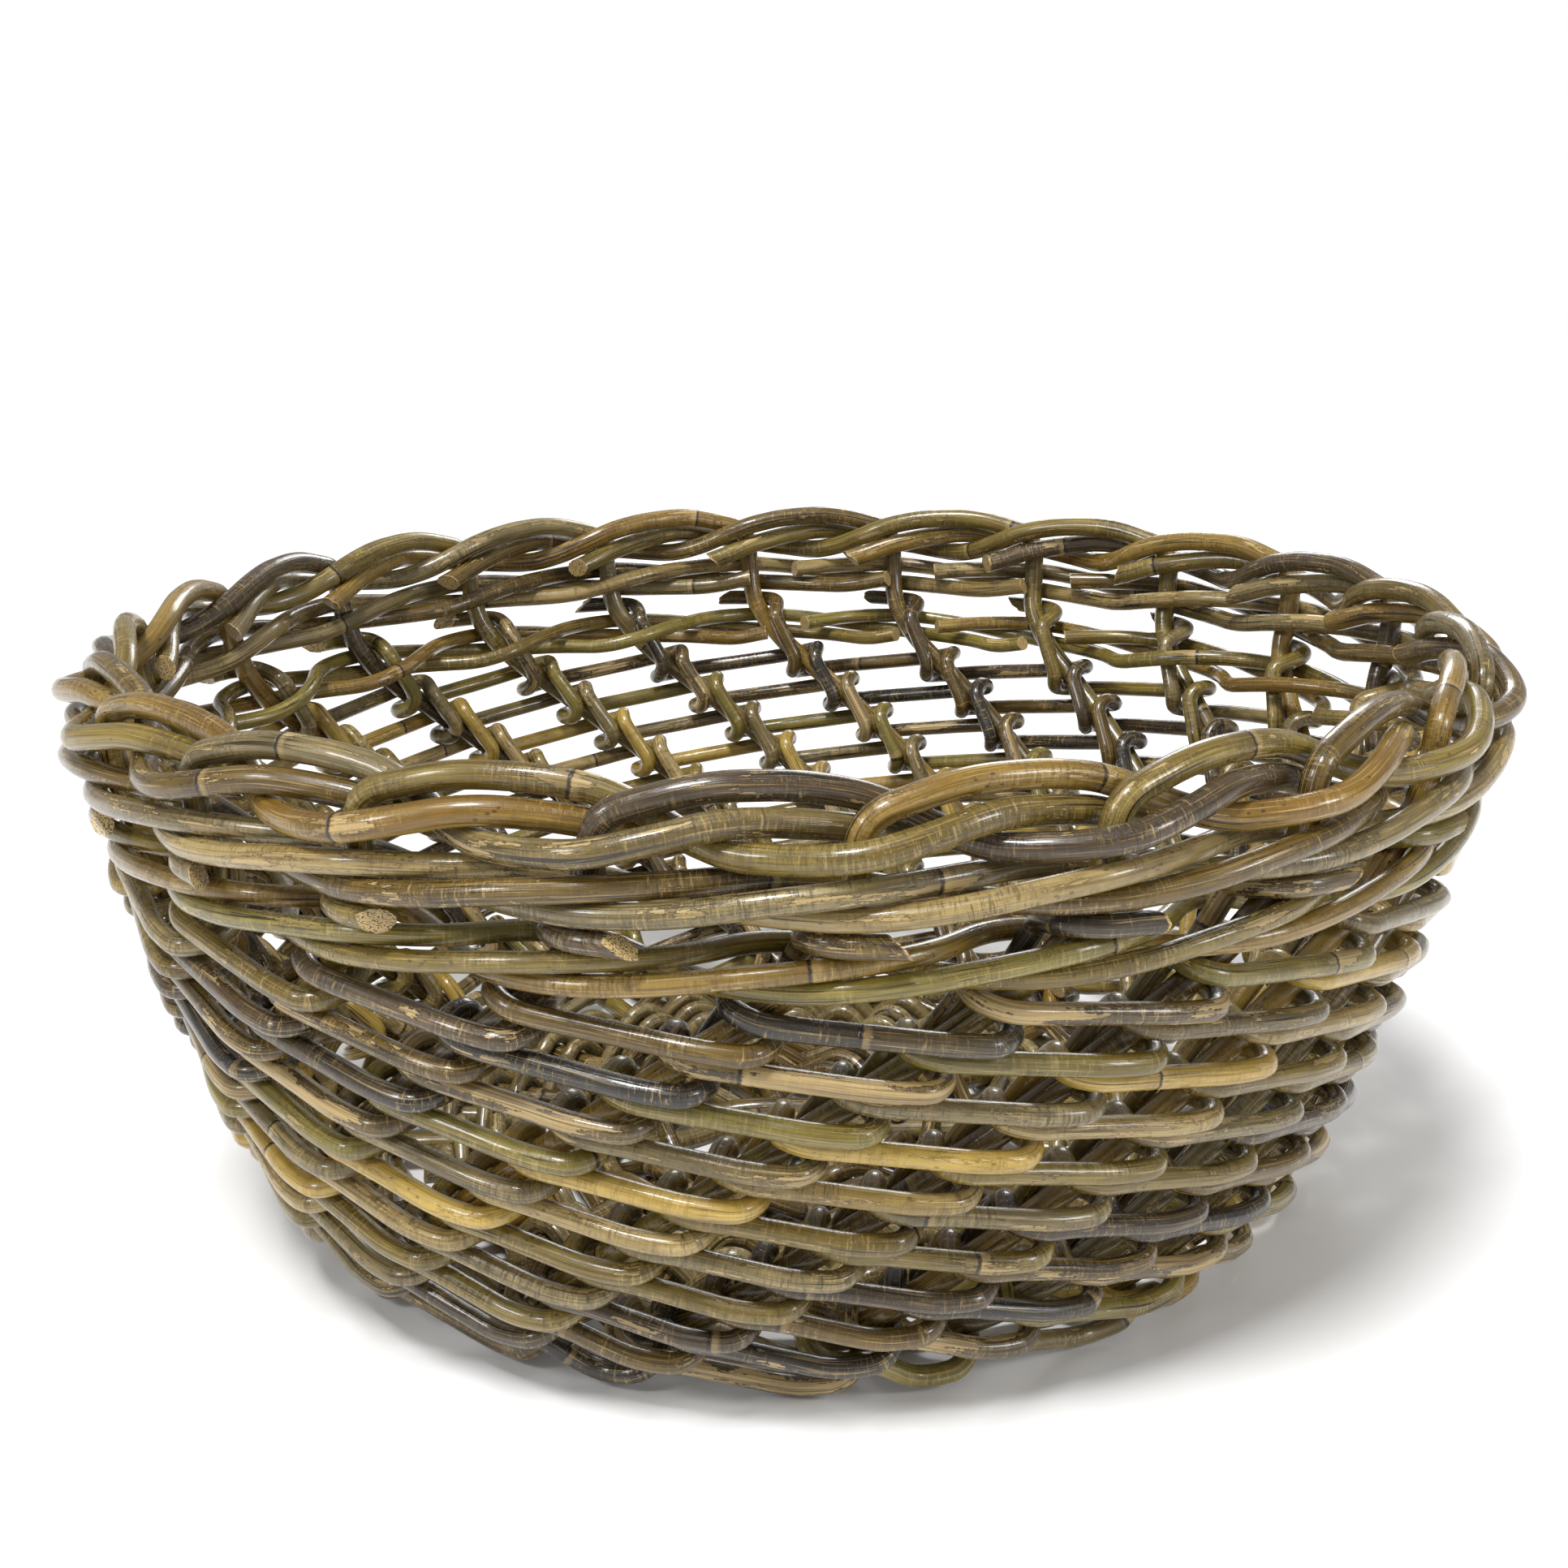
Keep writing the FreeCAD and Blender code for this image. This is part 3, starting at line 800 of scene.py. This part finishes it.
# ---- the stems ------------------------------------------------------------------
@dataclass
class StemMaker:
    """Turns a cane's route into a stem with joints, grooves and cut ends.

    Attributes:
        spacing: Distance between two rings of the stem's mesh, in millimetres.
        share: Width of the finished stem's skin against the cane in the frame.
        bend: Share of a run that the bend at its end uses up.
        sides: Corners of the stem's section.
        easing: How many times its line is eased, so that it bends like a springy cane.
        joint_gap: Shortest mean distance between two joints of a stem, in millimetres.
        joint_gap_step: How much longer it is on the next kind of stem, in millimetres.
        joint_swell: How much thicker the stem is at a joint, as a share.
    """

    paint: StemPaint
    spacing: float = 1.3
    share: float = 0.972
    bend: float = 0.46
    sides: int = 14
    easing: int = 9
    joint_gap: float = 210.0
    joint_gap_step: float = 31.0
    joint_swell: float = 0.05

    def __post_init__(self) -> None:
        """Builds the tree that all stems share."""
        self.sockets: dict[str, str] = {}
        self.tree = self.grow()

    def smooth(self, route: list) -> np.ndarray:
        """Evenly spaced points on the bent cane's axis.

        Args:
            route: The corners of the cane's route.

        Returns:
            Points a ring's spacing apart, with the bends eased.
        """
        dense = [route[0]]
        for before, corner, after in zip(route, route[1:], route[2:]):
            cut = min(np.linalg.norm(before - corner), np.linalg.norm(after - corner)) * self.bend
            first, last = corner + unit(before - corner) * cut, corner + unit(after - corner) * cut
            for k in range(9):
                t = k / 8.0
                dense.append((1 - t) ** 2 * first + 2 * t * (1 - t) * corner + t * t * last)
        dense.append(route[-1])
        dense = np.array(dense)
        run = np.concatenate(([0.0], np.cumsum(np.linalg.norm(np.diff(dense, axis=0), axis=1))))
        count = max(8, int(run[-1] / (0.5 * self.spacing)))
        even = self.resample(dense, run, count)
        for _ in range(self.easing):
            even[1:-1] = 0.25 * even[:-2] + 0.5 * even[1:-1] + 0.25 * even[2:]
        run = np.concatenate(([0.0], np.cumsum(np.linalg.norm(np.diff(even, axis=0), axis=1))))
        count = max(6, int(round(run[-1] / self.spacing)))
        return self.resample(even, run, count)

    def resample(self, points: np.ndarray, run: np.ndarray, count: int) -> np.ndarray:
        """Spaces points evenly along a line.

        Args:
            points: The line's points.
            run: The length along the line at each of them.
            count: How many points to return.

        Returns:
            The evenly spaced points.
        """
        places = np.linspace(0.0, run[-1], count)
        return np.stack([np.interp(places, run, points[:, k]) for k in range(3)], 1)

    def grow(self) -> bpy.types.NodeTree:
        """Builds the geometry tree: a tube along the axis, with joints and skin relief.

        Returns:
            The tree, with its inputs' identifiers kept in sockets.
        """
        tree = bpy.data.node_groups.new("rattan_stem", "GeometryNodeTree")
        graph = Graph(tree)
        inputs = (("Geometry", "Geometry"), ("Radius", "Float"), ("Sides", "Int"),
                  ("Joint Spacing", "Float"), ("Joint Swell", "Float"), ("Slant", "Float"),
                  ("Seed", "Float"), ("Tone", "Float"), ("Skin", "Material"))
        for name, kind in inputs:
            socket = tree.interface.new_socket(name, in_out="INPUT", socket_type="NodeSocket" + kind)
            self.sockets[name] = socket.identifier
        tree.interface.new_socket("Geometry", in_out="OUTPUT", socket_type="NodeSocketGeometry")
        given = graph.add("NodeGroupInput").outputs
        along = self.read(graph, "along")
        shifted = graph.math("MULTIPLY_ADD", given["Seed"], 1.7, along)

        # the nearest joint of the stem, with its side as the sign
        cell = graph.math("DIVIDE", shifted, given["Joint Spacing"])
        cells = graph.add("ShaderNodeTexVoronoi", {"W": cell, "Scale": 1.0, "Randomness": 0.75},
                          voronoi_dimensions="1D")
        off = graph.math("SUBTRACT", cell, cells.outputs["W"])
        from_joint = graph.math("MULTIPLY", off, given["Joint Spacing"])

        rail = graph.add("GeometryNodeMeshToCurve", {"Mesh": given["Geometry"]}).outputs[0]
        rail = self.store(graph, rail, "from_node", from_joint)
        wander = graph.add("ShaderNodeTexNoise", {"W": shifted, "Scale": 22.0, "Detail": 1.0},
                           noise_dimensions="1D").outputs[0]
        width = graph.math("MULTIPLY_ADD", graph.math("SUBTRACT", wander, 0.5), 0.07, 1.0)
        near = graph.math("DIVIDE", from_joint, 1.5 * MM)
        bell = graph.math("EXPONENT", graph.math("MULTIPLY", graph.math("MULTIPLY", near, near), -1.0))
        width = graph.math("MULTIPLY_ADD", bell, given["Joint Swell"], width)
        end = graph.ramp(self.read(graph, "to_end"), 0.0, 0.9 * MM, 0.88, 1.0)
        width = graph.math("MULTIPLY", width, end)
        rail = graph.add("GeometryNodeSetCurveRadius", {"Curve": rail, "Radius": width}).outputs[0]

        ring = graph.add("GeometryNodeCurvePrimitiveCircle", {"Resolution": given["Sides"]})
        graph.feed(ring.inputs["Radius"], given["Radius"])
        turn = graph.add("GeometryNodeSplineParameter").outputs["Factor"]
        ring = self.store(graph, ring.outputs[0], "round", turn)
        tube = graph.add("GeometryNodeCurveToMesh",
                         {"Curve": rail, "Profile Curve": ring, "Fill Caps": True})

        # where each point is on the unrolled stem, closed round the seam
        turn = graph.math("MULTIPLY", self.read(graph, "round"), 2.0 * math.pi)
        place = graph.vector(graph.math("MULTIPLY", graph.math("COSINE", turn), given["Radius"]),
                             graph.math("MULTIPLY", graph.math("SINE", turn), given["Radius"]), shifted)
        body = self.store(graph, tube.outputs[0], "place", place, "FLOAT_VECTOR")
        body = self.store(graph, body, "tone", given["Tone"])

        # grooves along the stem, a slightly oval section and dents
        groove = graph.noise(place, (520.0, 520.0, 18.0), 1.0)
        dent = graph.noise(place, (120.0, 120.0, 60.0), 2.0)
        twist = graph.math("MULTIPLY", shifted, 9.0)
        oval = graph.math("COSINE", graph.math("MULTIPLY_ADD", turn, 2.0, twist))
        lift = graph.math("MULTIPLY_ADD", graph.math("SUBTRACT", groove, 0.5), 0.10,
                          graph.math("MULTIPLY", graph.math("SUBTRACT", dent, 0.5), 0.10))
        lift = graph.math("MULTIPLY_ADD", oval, 0.02, lift)
        lift = graph.math("MULTIPLY", lift, given["Radius"])
        normal = graph.add("GeometryNodeInputNormal").outputs[0]
        push = graph.add("ShaderNodeVectorMath", {0: normal, "Scale": lift}, operation="SCALE").outputs[0]
        body = self.shift(graph, body, push)

        # cut ends slant, and their fibres are torn to uneven lengths
        facing = graph.math("COSINE", graph.math("ADD", turn, given["Seed"]))
        tilt = graph.math("MULTIPLY_ADD", facing, 0.5, 0.5)
        torn = graph.noise(place, (1500.0, 1500.0, 1.0), 1.0)
        depth = graph.math("MULTIPLY", given["Slant"], given["Radius"])
        cut = graph.math("MULTIPLY", depth, graph.math("MULTIPLY_ADD", torn, 0.5, tilt))
        fade = graph.ramp(self.read(graph, "to_end"), 0.0, graph.math("MULTIPLY", depth, 2.6), 1.0, 0.0)
        cut = graph.math("MULTIPLY", cut, fade)
        inward = graph.add("GeometryNodeInputNamedAttribute", {"Name": "inward"}, data_type="FLOAT_VECTOR")
        push = graph.add("ShaderNodeVectorMath", {0: inward.outputs[0], "Scale": cut}, operation="SCALE")
        body = self.shift(graph, body, push.outputs[0])
        body = graph.add("GeometryNodeRealizeInstances", {"Geometry": body}).outputs[0]
        dressed = graph.add("GeometryNodeSetMaterial", {"Geometry": body, "Material": given["Skin"]})
        graph.feed(graph.add("NodeGroupOutput").inputs[0], dressed.outputs[0])
        return tree

    def shift(self, graph: Graph, body: bpy.types.NodeSocket,
              push: bpy.types.NodeSocket) -> bpy.types.NodeSocket:
        """Moves each point of body by push."""
        return graph.add("GeometryNodeSetPosition", {"Geometry": body, "Offset": push}).outputs[0]

    def read(self, graph: Graph, name: str) -> bpy.types.NodeSocket:
        """The value of a named attribute."""
        return graph.add("GeometryNodeInputNamedAttribute", {"Name": name}, data_type="FLOAT").outputs[0]

    def store(self, graph: Graph, body: bpy.types.NodeSocket, name: str, value: bpy.types.NodeSocket,
              kind: str = "FLOAT") -> bpy.types.NodeSocket:
        """Keeps a value on the points of body as a named attribute.

        Args:
            graph: The tree's helper.
            body: The geometry.
            name: The attribute's name.
            value: What it holds.
            kind: Its data type.

        Returns:
            The geometry that carries it.
        """
        node = graph.add("GeometryNodeStoreNamedAttribute", data_type=kind, domain="POINT")
        graph.feed(node.inputs["Geometry"], body)
        graph.feed(node.inputs["Name"], name)
        graph.feed(node.inputs["Value"], value)
        return node.outputs[0]

    def axis(self, cane: Cane) -> bpy.types.Object:
        """The cane's axis as a chain of edges that knows its length and its bend.

        Args:
            cane: The cane.

        Returns:
            An object whose mesh is that chain, in metres.
        """
        points = self.smooth(cane.points) * MM
        runs = np.linalg.norm(np.diff(points, axis=0), axis=1)
        along = np.concatenate(([0.0], np.cumsum(runs)))
        turn = np.zeros(len(points))
        heading = np.diff(points, axis=0) / runs[:, None]
        cosine = np.clip((heading[1:] * heading[:-1]).sum(1), -1.0, 1.0)
        turn[1:-1] = np.arccos(cosine) / (0.5 * (runs[1:] + runs[:-1]))
        mesh = bpy.data.meshes.new(cane.node + "_stem")
        mesh.from_pydata([tuple(p) for p in points], [(i, i + 1) for i in range(len(points) - 1)], [])
        to_end = np.minimum(along, along[-1] - along)
        for name, values in (("along", along), ("bend", turn), ("to_end", to_end)):
            mesh.attributes.new(name, "FLOAT", "POINT").data.foreach_set("value", values.astype(np.float32))
        inward = np.gradient(points, axis=0)
        inward /= np.linalg.norm(inward, axis=1)[:, None]
        inward[len(points) // 2:] *= -1.0
        inner = mesh.attributes.new("inward", "FLOAT_VECTOR", "POINT")
        inner.data.foreach_set("vector", inward.astype(np.float32).ravel())
        piece = bpy.data.objects.new(cane.node + "_stem", mesh)
        bpy.context.scene.collection.objects.link(piece)
        return piece

    def make(self, cane: Cane, seed: int) -> bpy.types.Object:
        """Makes one finished stem in the place of its CAD node.

        Args:
            cane: The cane.
            seed: Which part of the skin's pattern it shows.

        Returns:
            The finished piece.
        """
        piece = self.axis(cane)
        modifier = piece.modifiers.new("stem", "NODES")
        modifier.node_group = self.tree
        values = {"Radius": cane.radius * MM * self.share, "Sides": self.sides,
                  "Joint Spacing": (self.joint_gap + self.joint_gap_step * (seed % 5)) * MM,
                  "Joint Swell": self.joint_swell,
                  "Slant": cane.slant,
                  "Seed": float(seed), "Tone": cane.tone, "Skin": self.paint.material(cane.bark)}
        for name, value in values.items():
            modifier[self.sockets[name]] = value
        graph = bpy.context.evaluated_depsgraph_get()
        mesh = bpy.data.meshes.new_from_object(piece.evaluated_get(graph))
        piece.modifiers.remove(modifier)
        rough = piece.data
        piece.data = mesh
        bpy.data.meshes.remove(rough)
        mesh.name = piece.name
        skin_faces = np.array([len(face.vertices) <= 4 for face in mesh.polygons])
        mesh.polygons.foreach_set("use_smooth", skin_faces)
        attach(piece, "root")
        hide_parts(cane.node)
        LOG.info("%s: %d faces, %s", piece.name, len(mesh.polygons), cane.bark.name)
        return piece


# ---- the studio -------------------------------------------------------------------
@dataclass
class Studio:
    """Pale floor, soft lights and the camera."""

    floor_reach: float = 60.0
    floor_shade: float = 0.93
    distance: float = 0.7016
    eye: float = 0.332
    pitch: float = 15.26
    lens: float = 47.92
    ambient: float = 0.36
    main_power: float = 2.5
    main_softness: float = 14.0
    main_from: Point = (-0.25, -0.55, 1.3)

    def floor(self) -> None:
        """Lays the floor, which isn't part of the object."""
        mesh = bpy.data.meshes.new("studio_floor")
        size = self.floor_reach
        mesh.from_pydata([(-size, -size, 0.0), (size, -size, 0.0), (size, size, 0.0), (-size, size, 0.0)],
                         [], [(0, 1, 2, 3)])
        floor = bpy.data.objects.new("studio_floor", mesh)
        bpy.context.scene.collection.objects.link(floor)
        material = bpy.data.materials.new("pale_floor")
        material.use_nodes = True
        shader = material.node_tree.nodes["Principled BSDF"]
        shader.inputs["Base Color"].default_value = (*[self.floor_shade] * 3, 1.0)
        shader.inputs["Roughness"].default_value = 0.8
        shader.inputs["Specular IOR Level"].default_value = 0.0
        mesh.materials.append(material)

    def light(self, name: str, place: Point, target: Point, size: float, power: float) -> None:
        """Hangs one square soft light.

        Args:
            name: Its name.
            place: Where it hangs.
            target: What it is turned to.
            size: Length of its side.
            power: Its power in watts.
        """
        data = bpy.data.lights.new(name, "AREA")
        data.size = size
        data.energy = power
        lamp = bpy.data.objects.new(name, data)
        lamp.location = place
        lamp.rotation_euler = (Vector(target) - Vector(place)).to_track_quat("-Z", "Y").to_euler()
        bpy.context.scene.collection.objects.link(lamp)

    def lights(self) -> None:
        """Sets the soft light all round, the broad main light and the small lamps that give the gloss."""
        world = bpy.data.worlds.new("studio")
        world.use_nodes = True
        graph = Graph(world.node_tree)
        seen = graph.add("ShaderNodeLightPath").outputs["Is Camera Ray"]
        strength = graph.math("MULTIPLY_ADD", seen, 1.0 - self.ambient, self.ambient)
        graph.feed(world.node_tree.nodes["Background"].inputs["Strength"], strength)
        world.node_tree.nodes["Background"].inputs["Color"].default_value = (1.0, 1.0, 1.0, 1.0)
        bpy.context.scene.world = world
        data = bpy.data.lights.new("main_light", "SUN")
        data.energy = self.main_power
        data.angle = math.radians(self.main_softness)
        sun = bpy.data.objects.new("main_light", data)
        sun.rotation_euler = Vector(self.main_from).to_track_quat("Z", "Y").to_euler()
        bpy.context.scene.collection.objects.link(sun)
        self.light("left_light", (-1.1, -0.9, 1.0), (0.0, 0.0, 0.1), 0.28, 6.5)
        self.light("right_light", (1.2, -0.8, 0.8), (0.0, 0.0, 0.1), 0.28, 5.5)
        self.light("back_light", (0.3, 1.4, 0.9), (0.0, 0.0, 0.1), 0.5, 6.0)

    def camera(self) -> None:
        """Places the camera in front of the basket, a little above it."""
        data = bpy.data.cameras.new("camera")
        data.sensor_width = 36.0
        data.lens = self.lens
        data.shift_x = -0.002
        camera = bpy.data.objects.new("camera", data)
        camera.location = (0.0, -self.distance, self.eye)
        camera.rotation_euler = (math.radians(90.0 - self.pitch), 0.0, 0.0)
        bpy.context.scene.collection.objects.link(camera)
        bpy.context.scene.camera = camera
        bpy.context.scene.view_settings.view_transform = "Standard"

    def build(self) -> None:
        """Builds all of it."""
        self.floor()
        self.lights()
        self.camera()


class Basket:
    """The whole basket."""

    STAKE_BARKS = (Bark.OLIVE, Bark.BROWN, Bark.TAN, Bark.GREY, Bark.OLIVE, Bark.PLUM, Bark.TAN)
    WEAVER_BARKS = (Bark.OLIVE, Bark.PALE, Bark.GREEN, Bark.BROWN, Bark.GREY, Bark.STRAW, Bark.PATCHED,
                    Bark.PLUM, Bark.OLIVE, Bark.GREY, Bark.BLACK)
    WALE_BARKS = (Bark.PALE, Bark.GREEN, Bark.BROWN, Bark.OLIVE, Bark.GREY, Bark.TAN)
    # the base gets the darker brown and grey barks: partly the base's own colour, partly painted shade for
    # the inside of the basket
    BASE_BARKS_WITH_PAINTED_SHADE = (Bark.BROWN, Bark.GREY)
    TONE = 0.85
    TONE_STEP = 0.03

    def __init__(self) -> None:
        """Plans the wall and everything that hangs on it."""
        self.wall = Wall()
        self.parts = (Stakes(self.wall), Weavers(self.wall), Wales(self.wall), Base(self.wall))

    def choose(self, cane: Cane, index: int) -> None:
        """Gives a cane its kind of bark and its tone.

        Args:
            cane: The cane.
            index: Its number in its own part of the basket.
        """
        if cane.node.startswith("stake"):
            cane.bark = self.STAKE_BARKS[index % len(self.STAKE_BARKS)]
        elif cane.node.startswith("weaver"):
            cane.bark = self.WEAVER_BARKS[index * 7 % len(self.WEAVER_BARKS)]
        elif "wale" in cane.node:
            cane.bark = self.WALE_BARKS[index % len(self.WALE_BARKS)]
        else:
            # base canes take the darker barks, partly painted shade for the inside of the basket
            cane.bark = self.BASE_BARKS_WITH_PAINTED_SHADE[index % len(self.BASE_BARKS_WITH_PAINTED_SHADE)]
        cane.tone = self.TONE + self.TONE_STEP * (index * 5 % 6)

    def build(self) -> None:
        """Makes every stem."""
        maker = StemMaker(StemPaint())
        seed = 0
        for part in self.parts:
            for index, cane in enumerate(part.canes()):
                seed += 1
                self.choose(cane, index)
                cane.points = [self.wall.settle(point) for point in cane.points]
                maker.make(cane, seed)


def main() -> None:
    """Loads the frame, makes the basket and lights it."""
    logging.basicConfig(level=logging.INFO, format="%(name)s %(message)s")
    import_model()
    Basket().build()
    Studio().build()


if __name__ == "__main__":
    main()
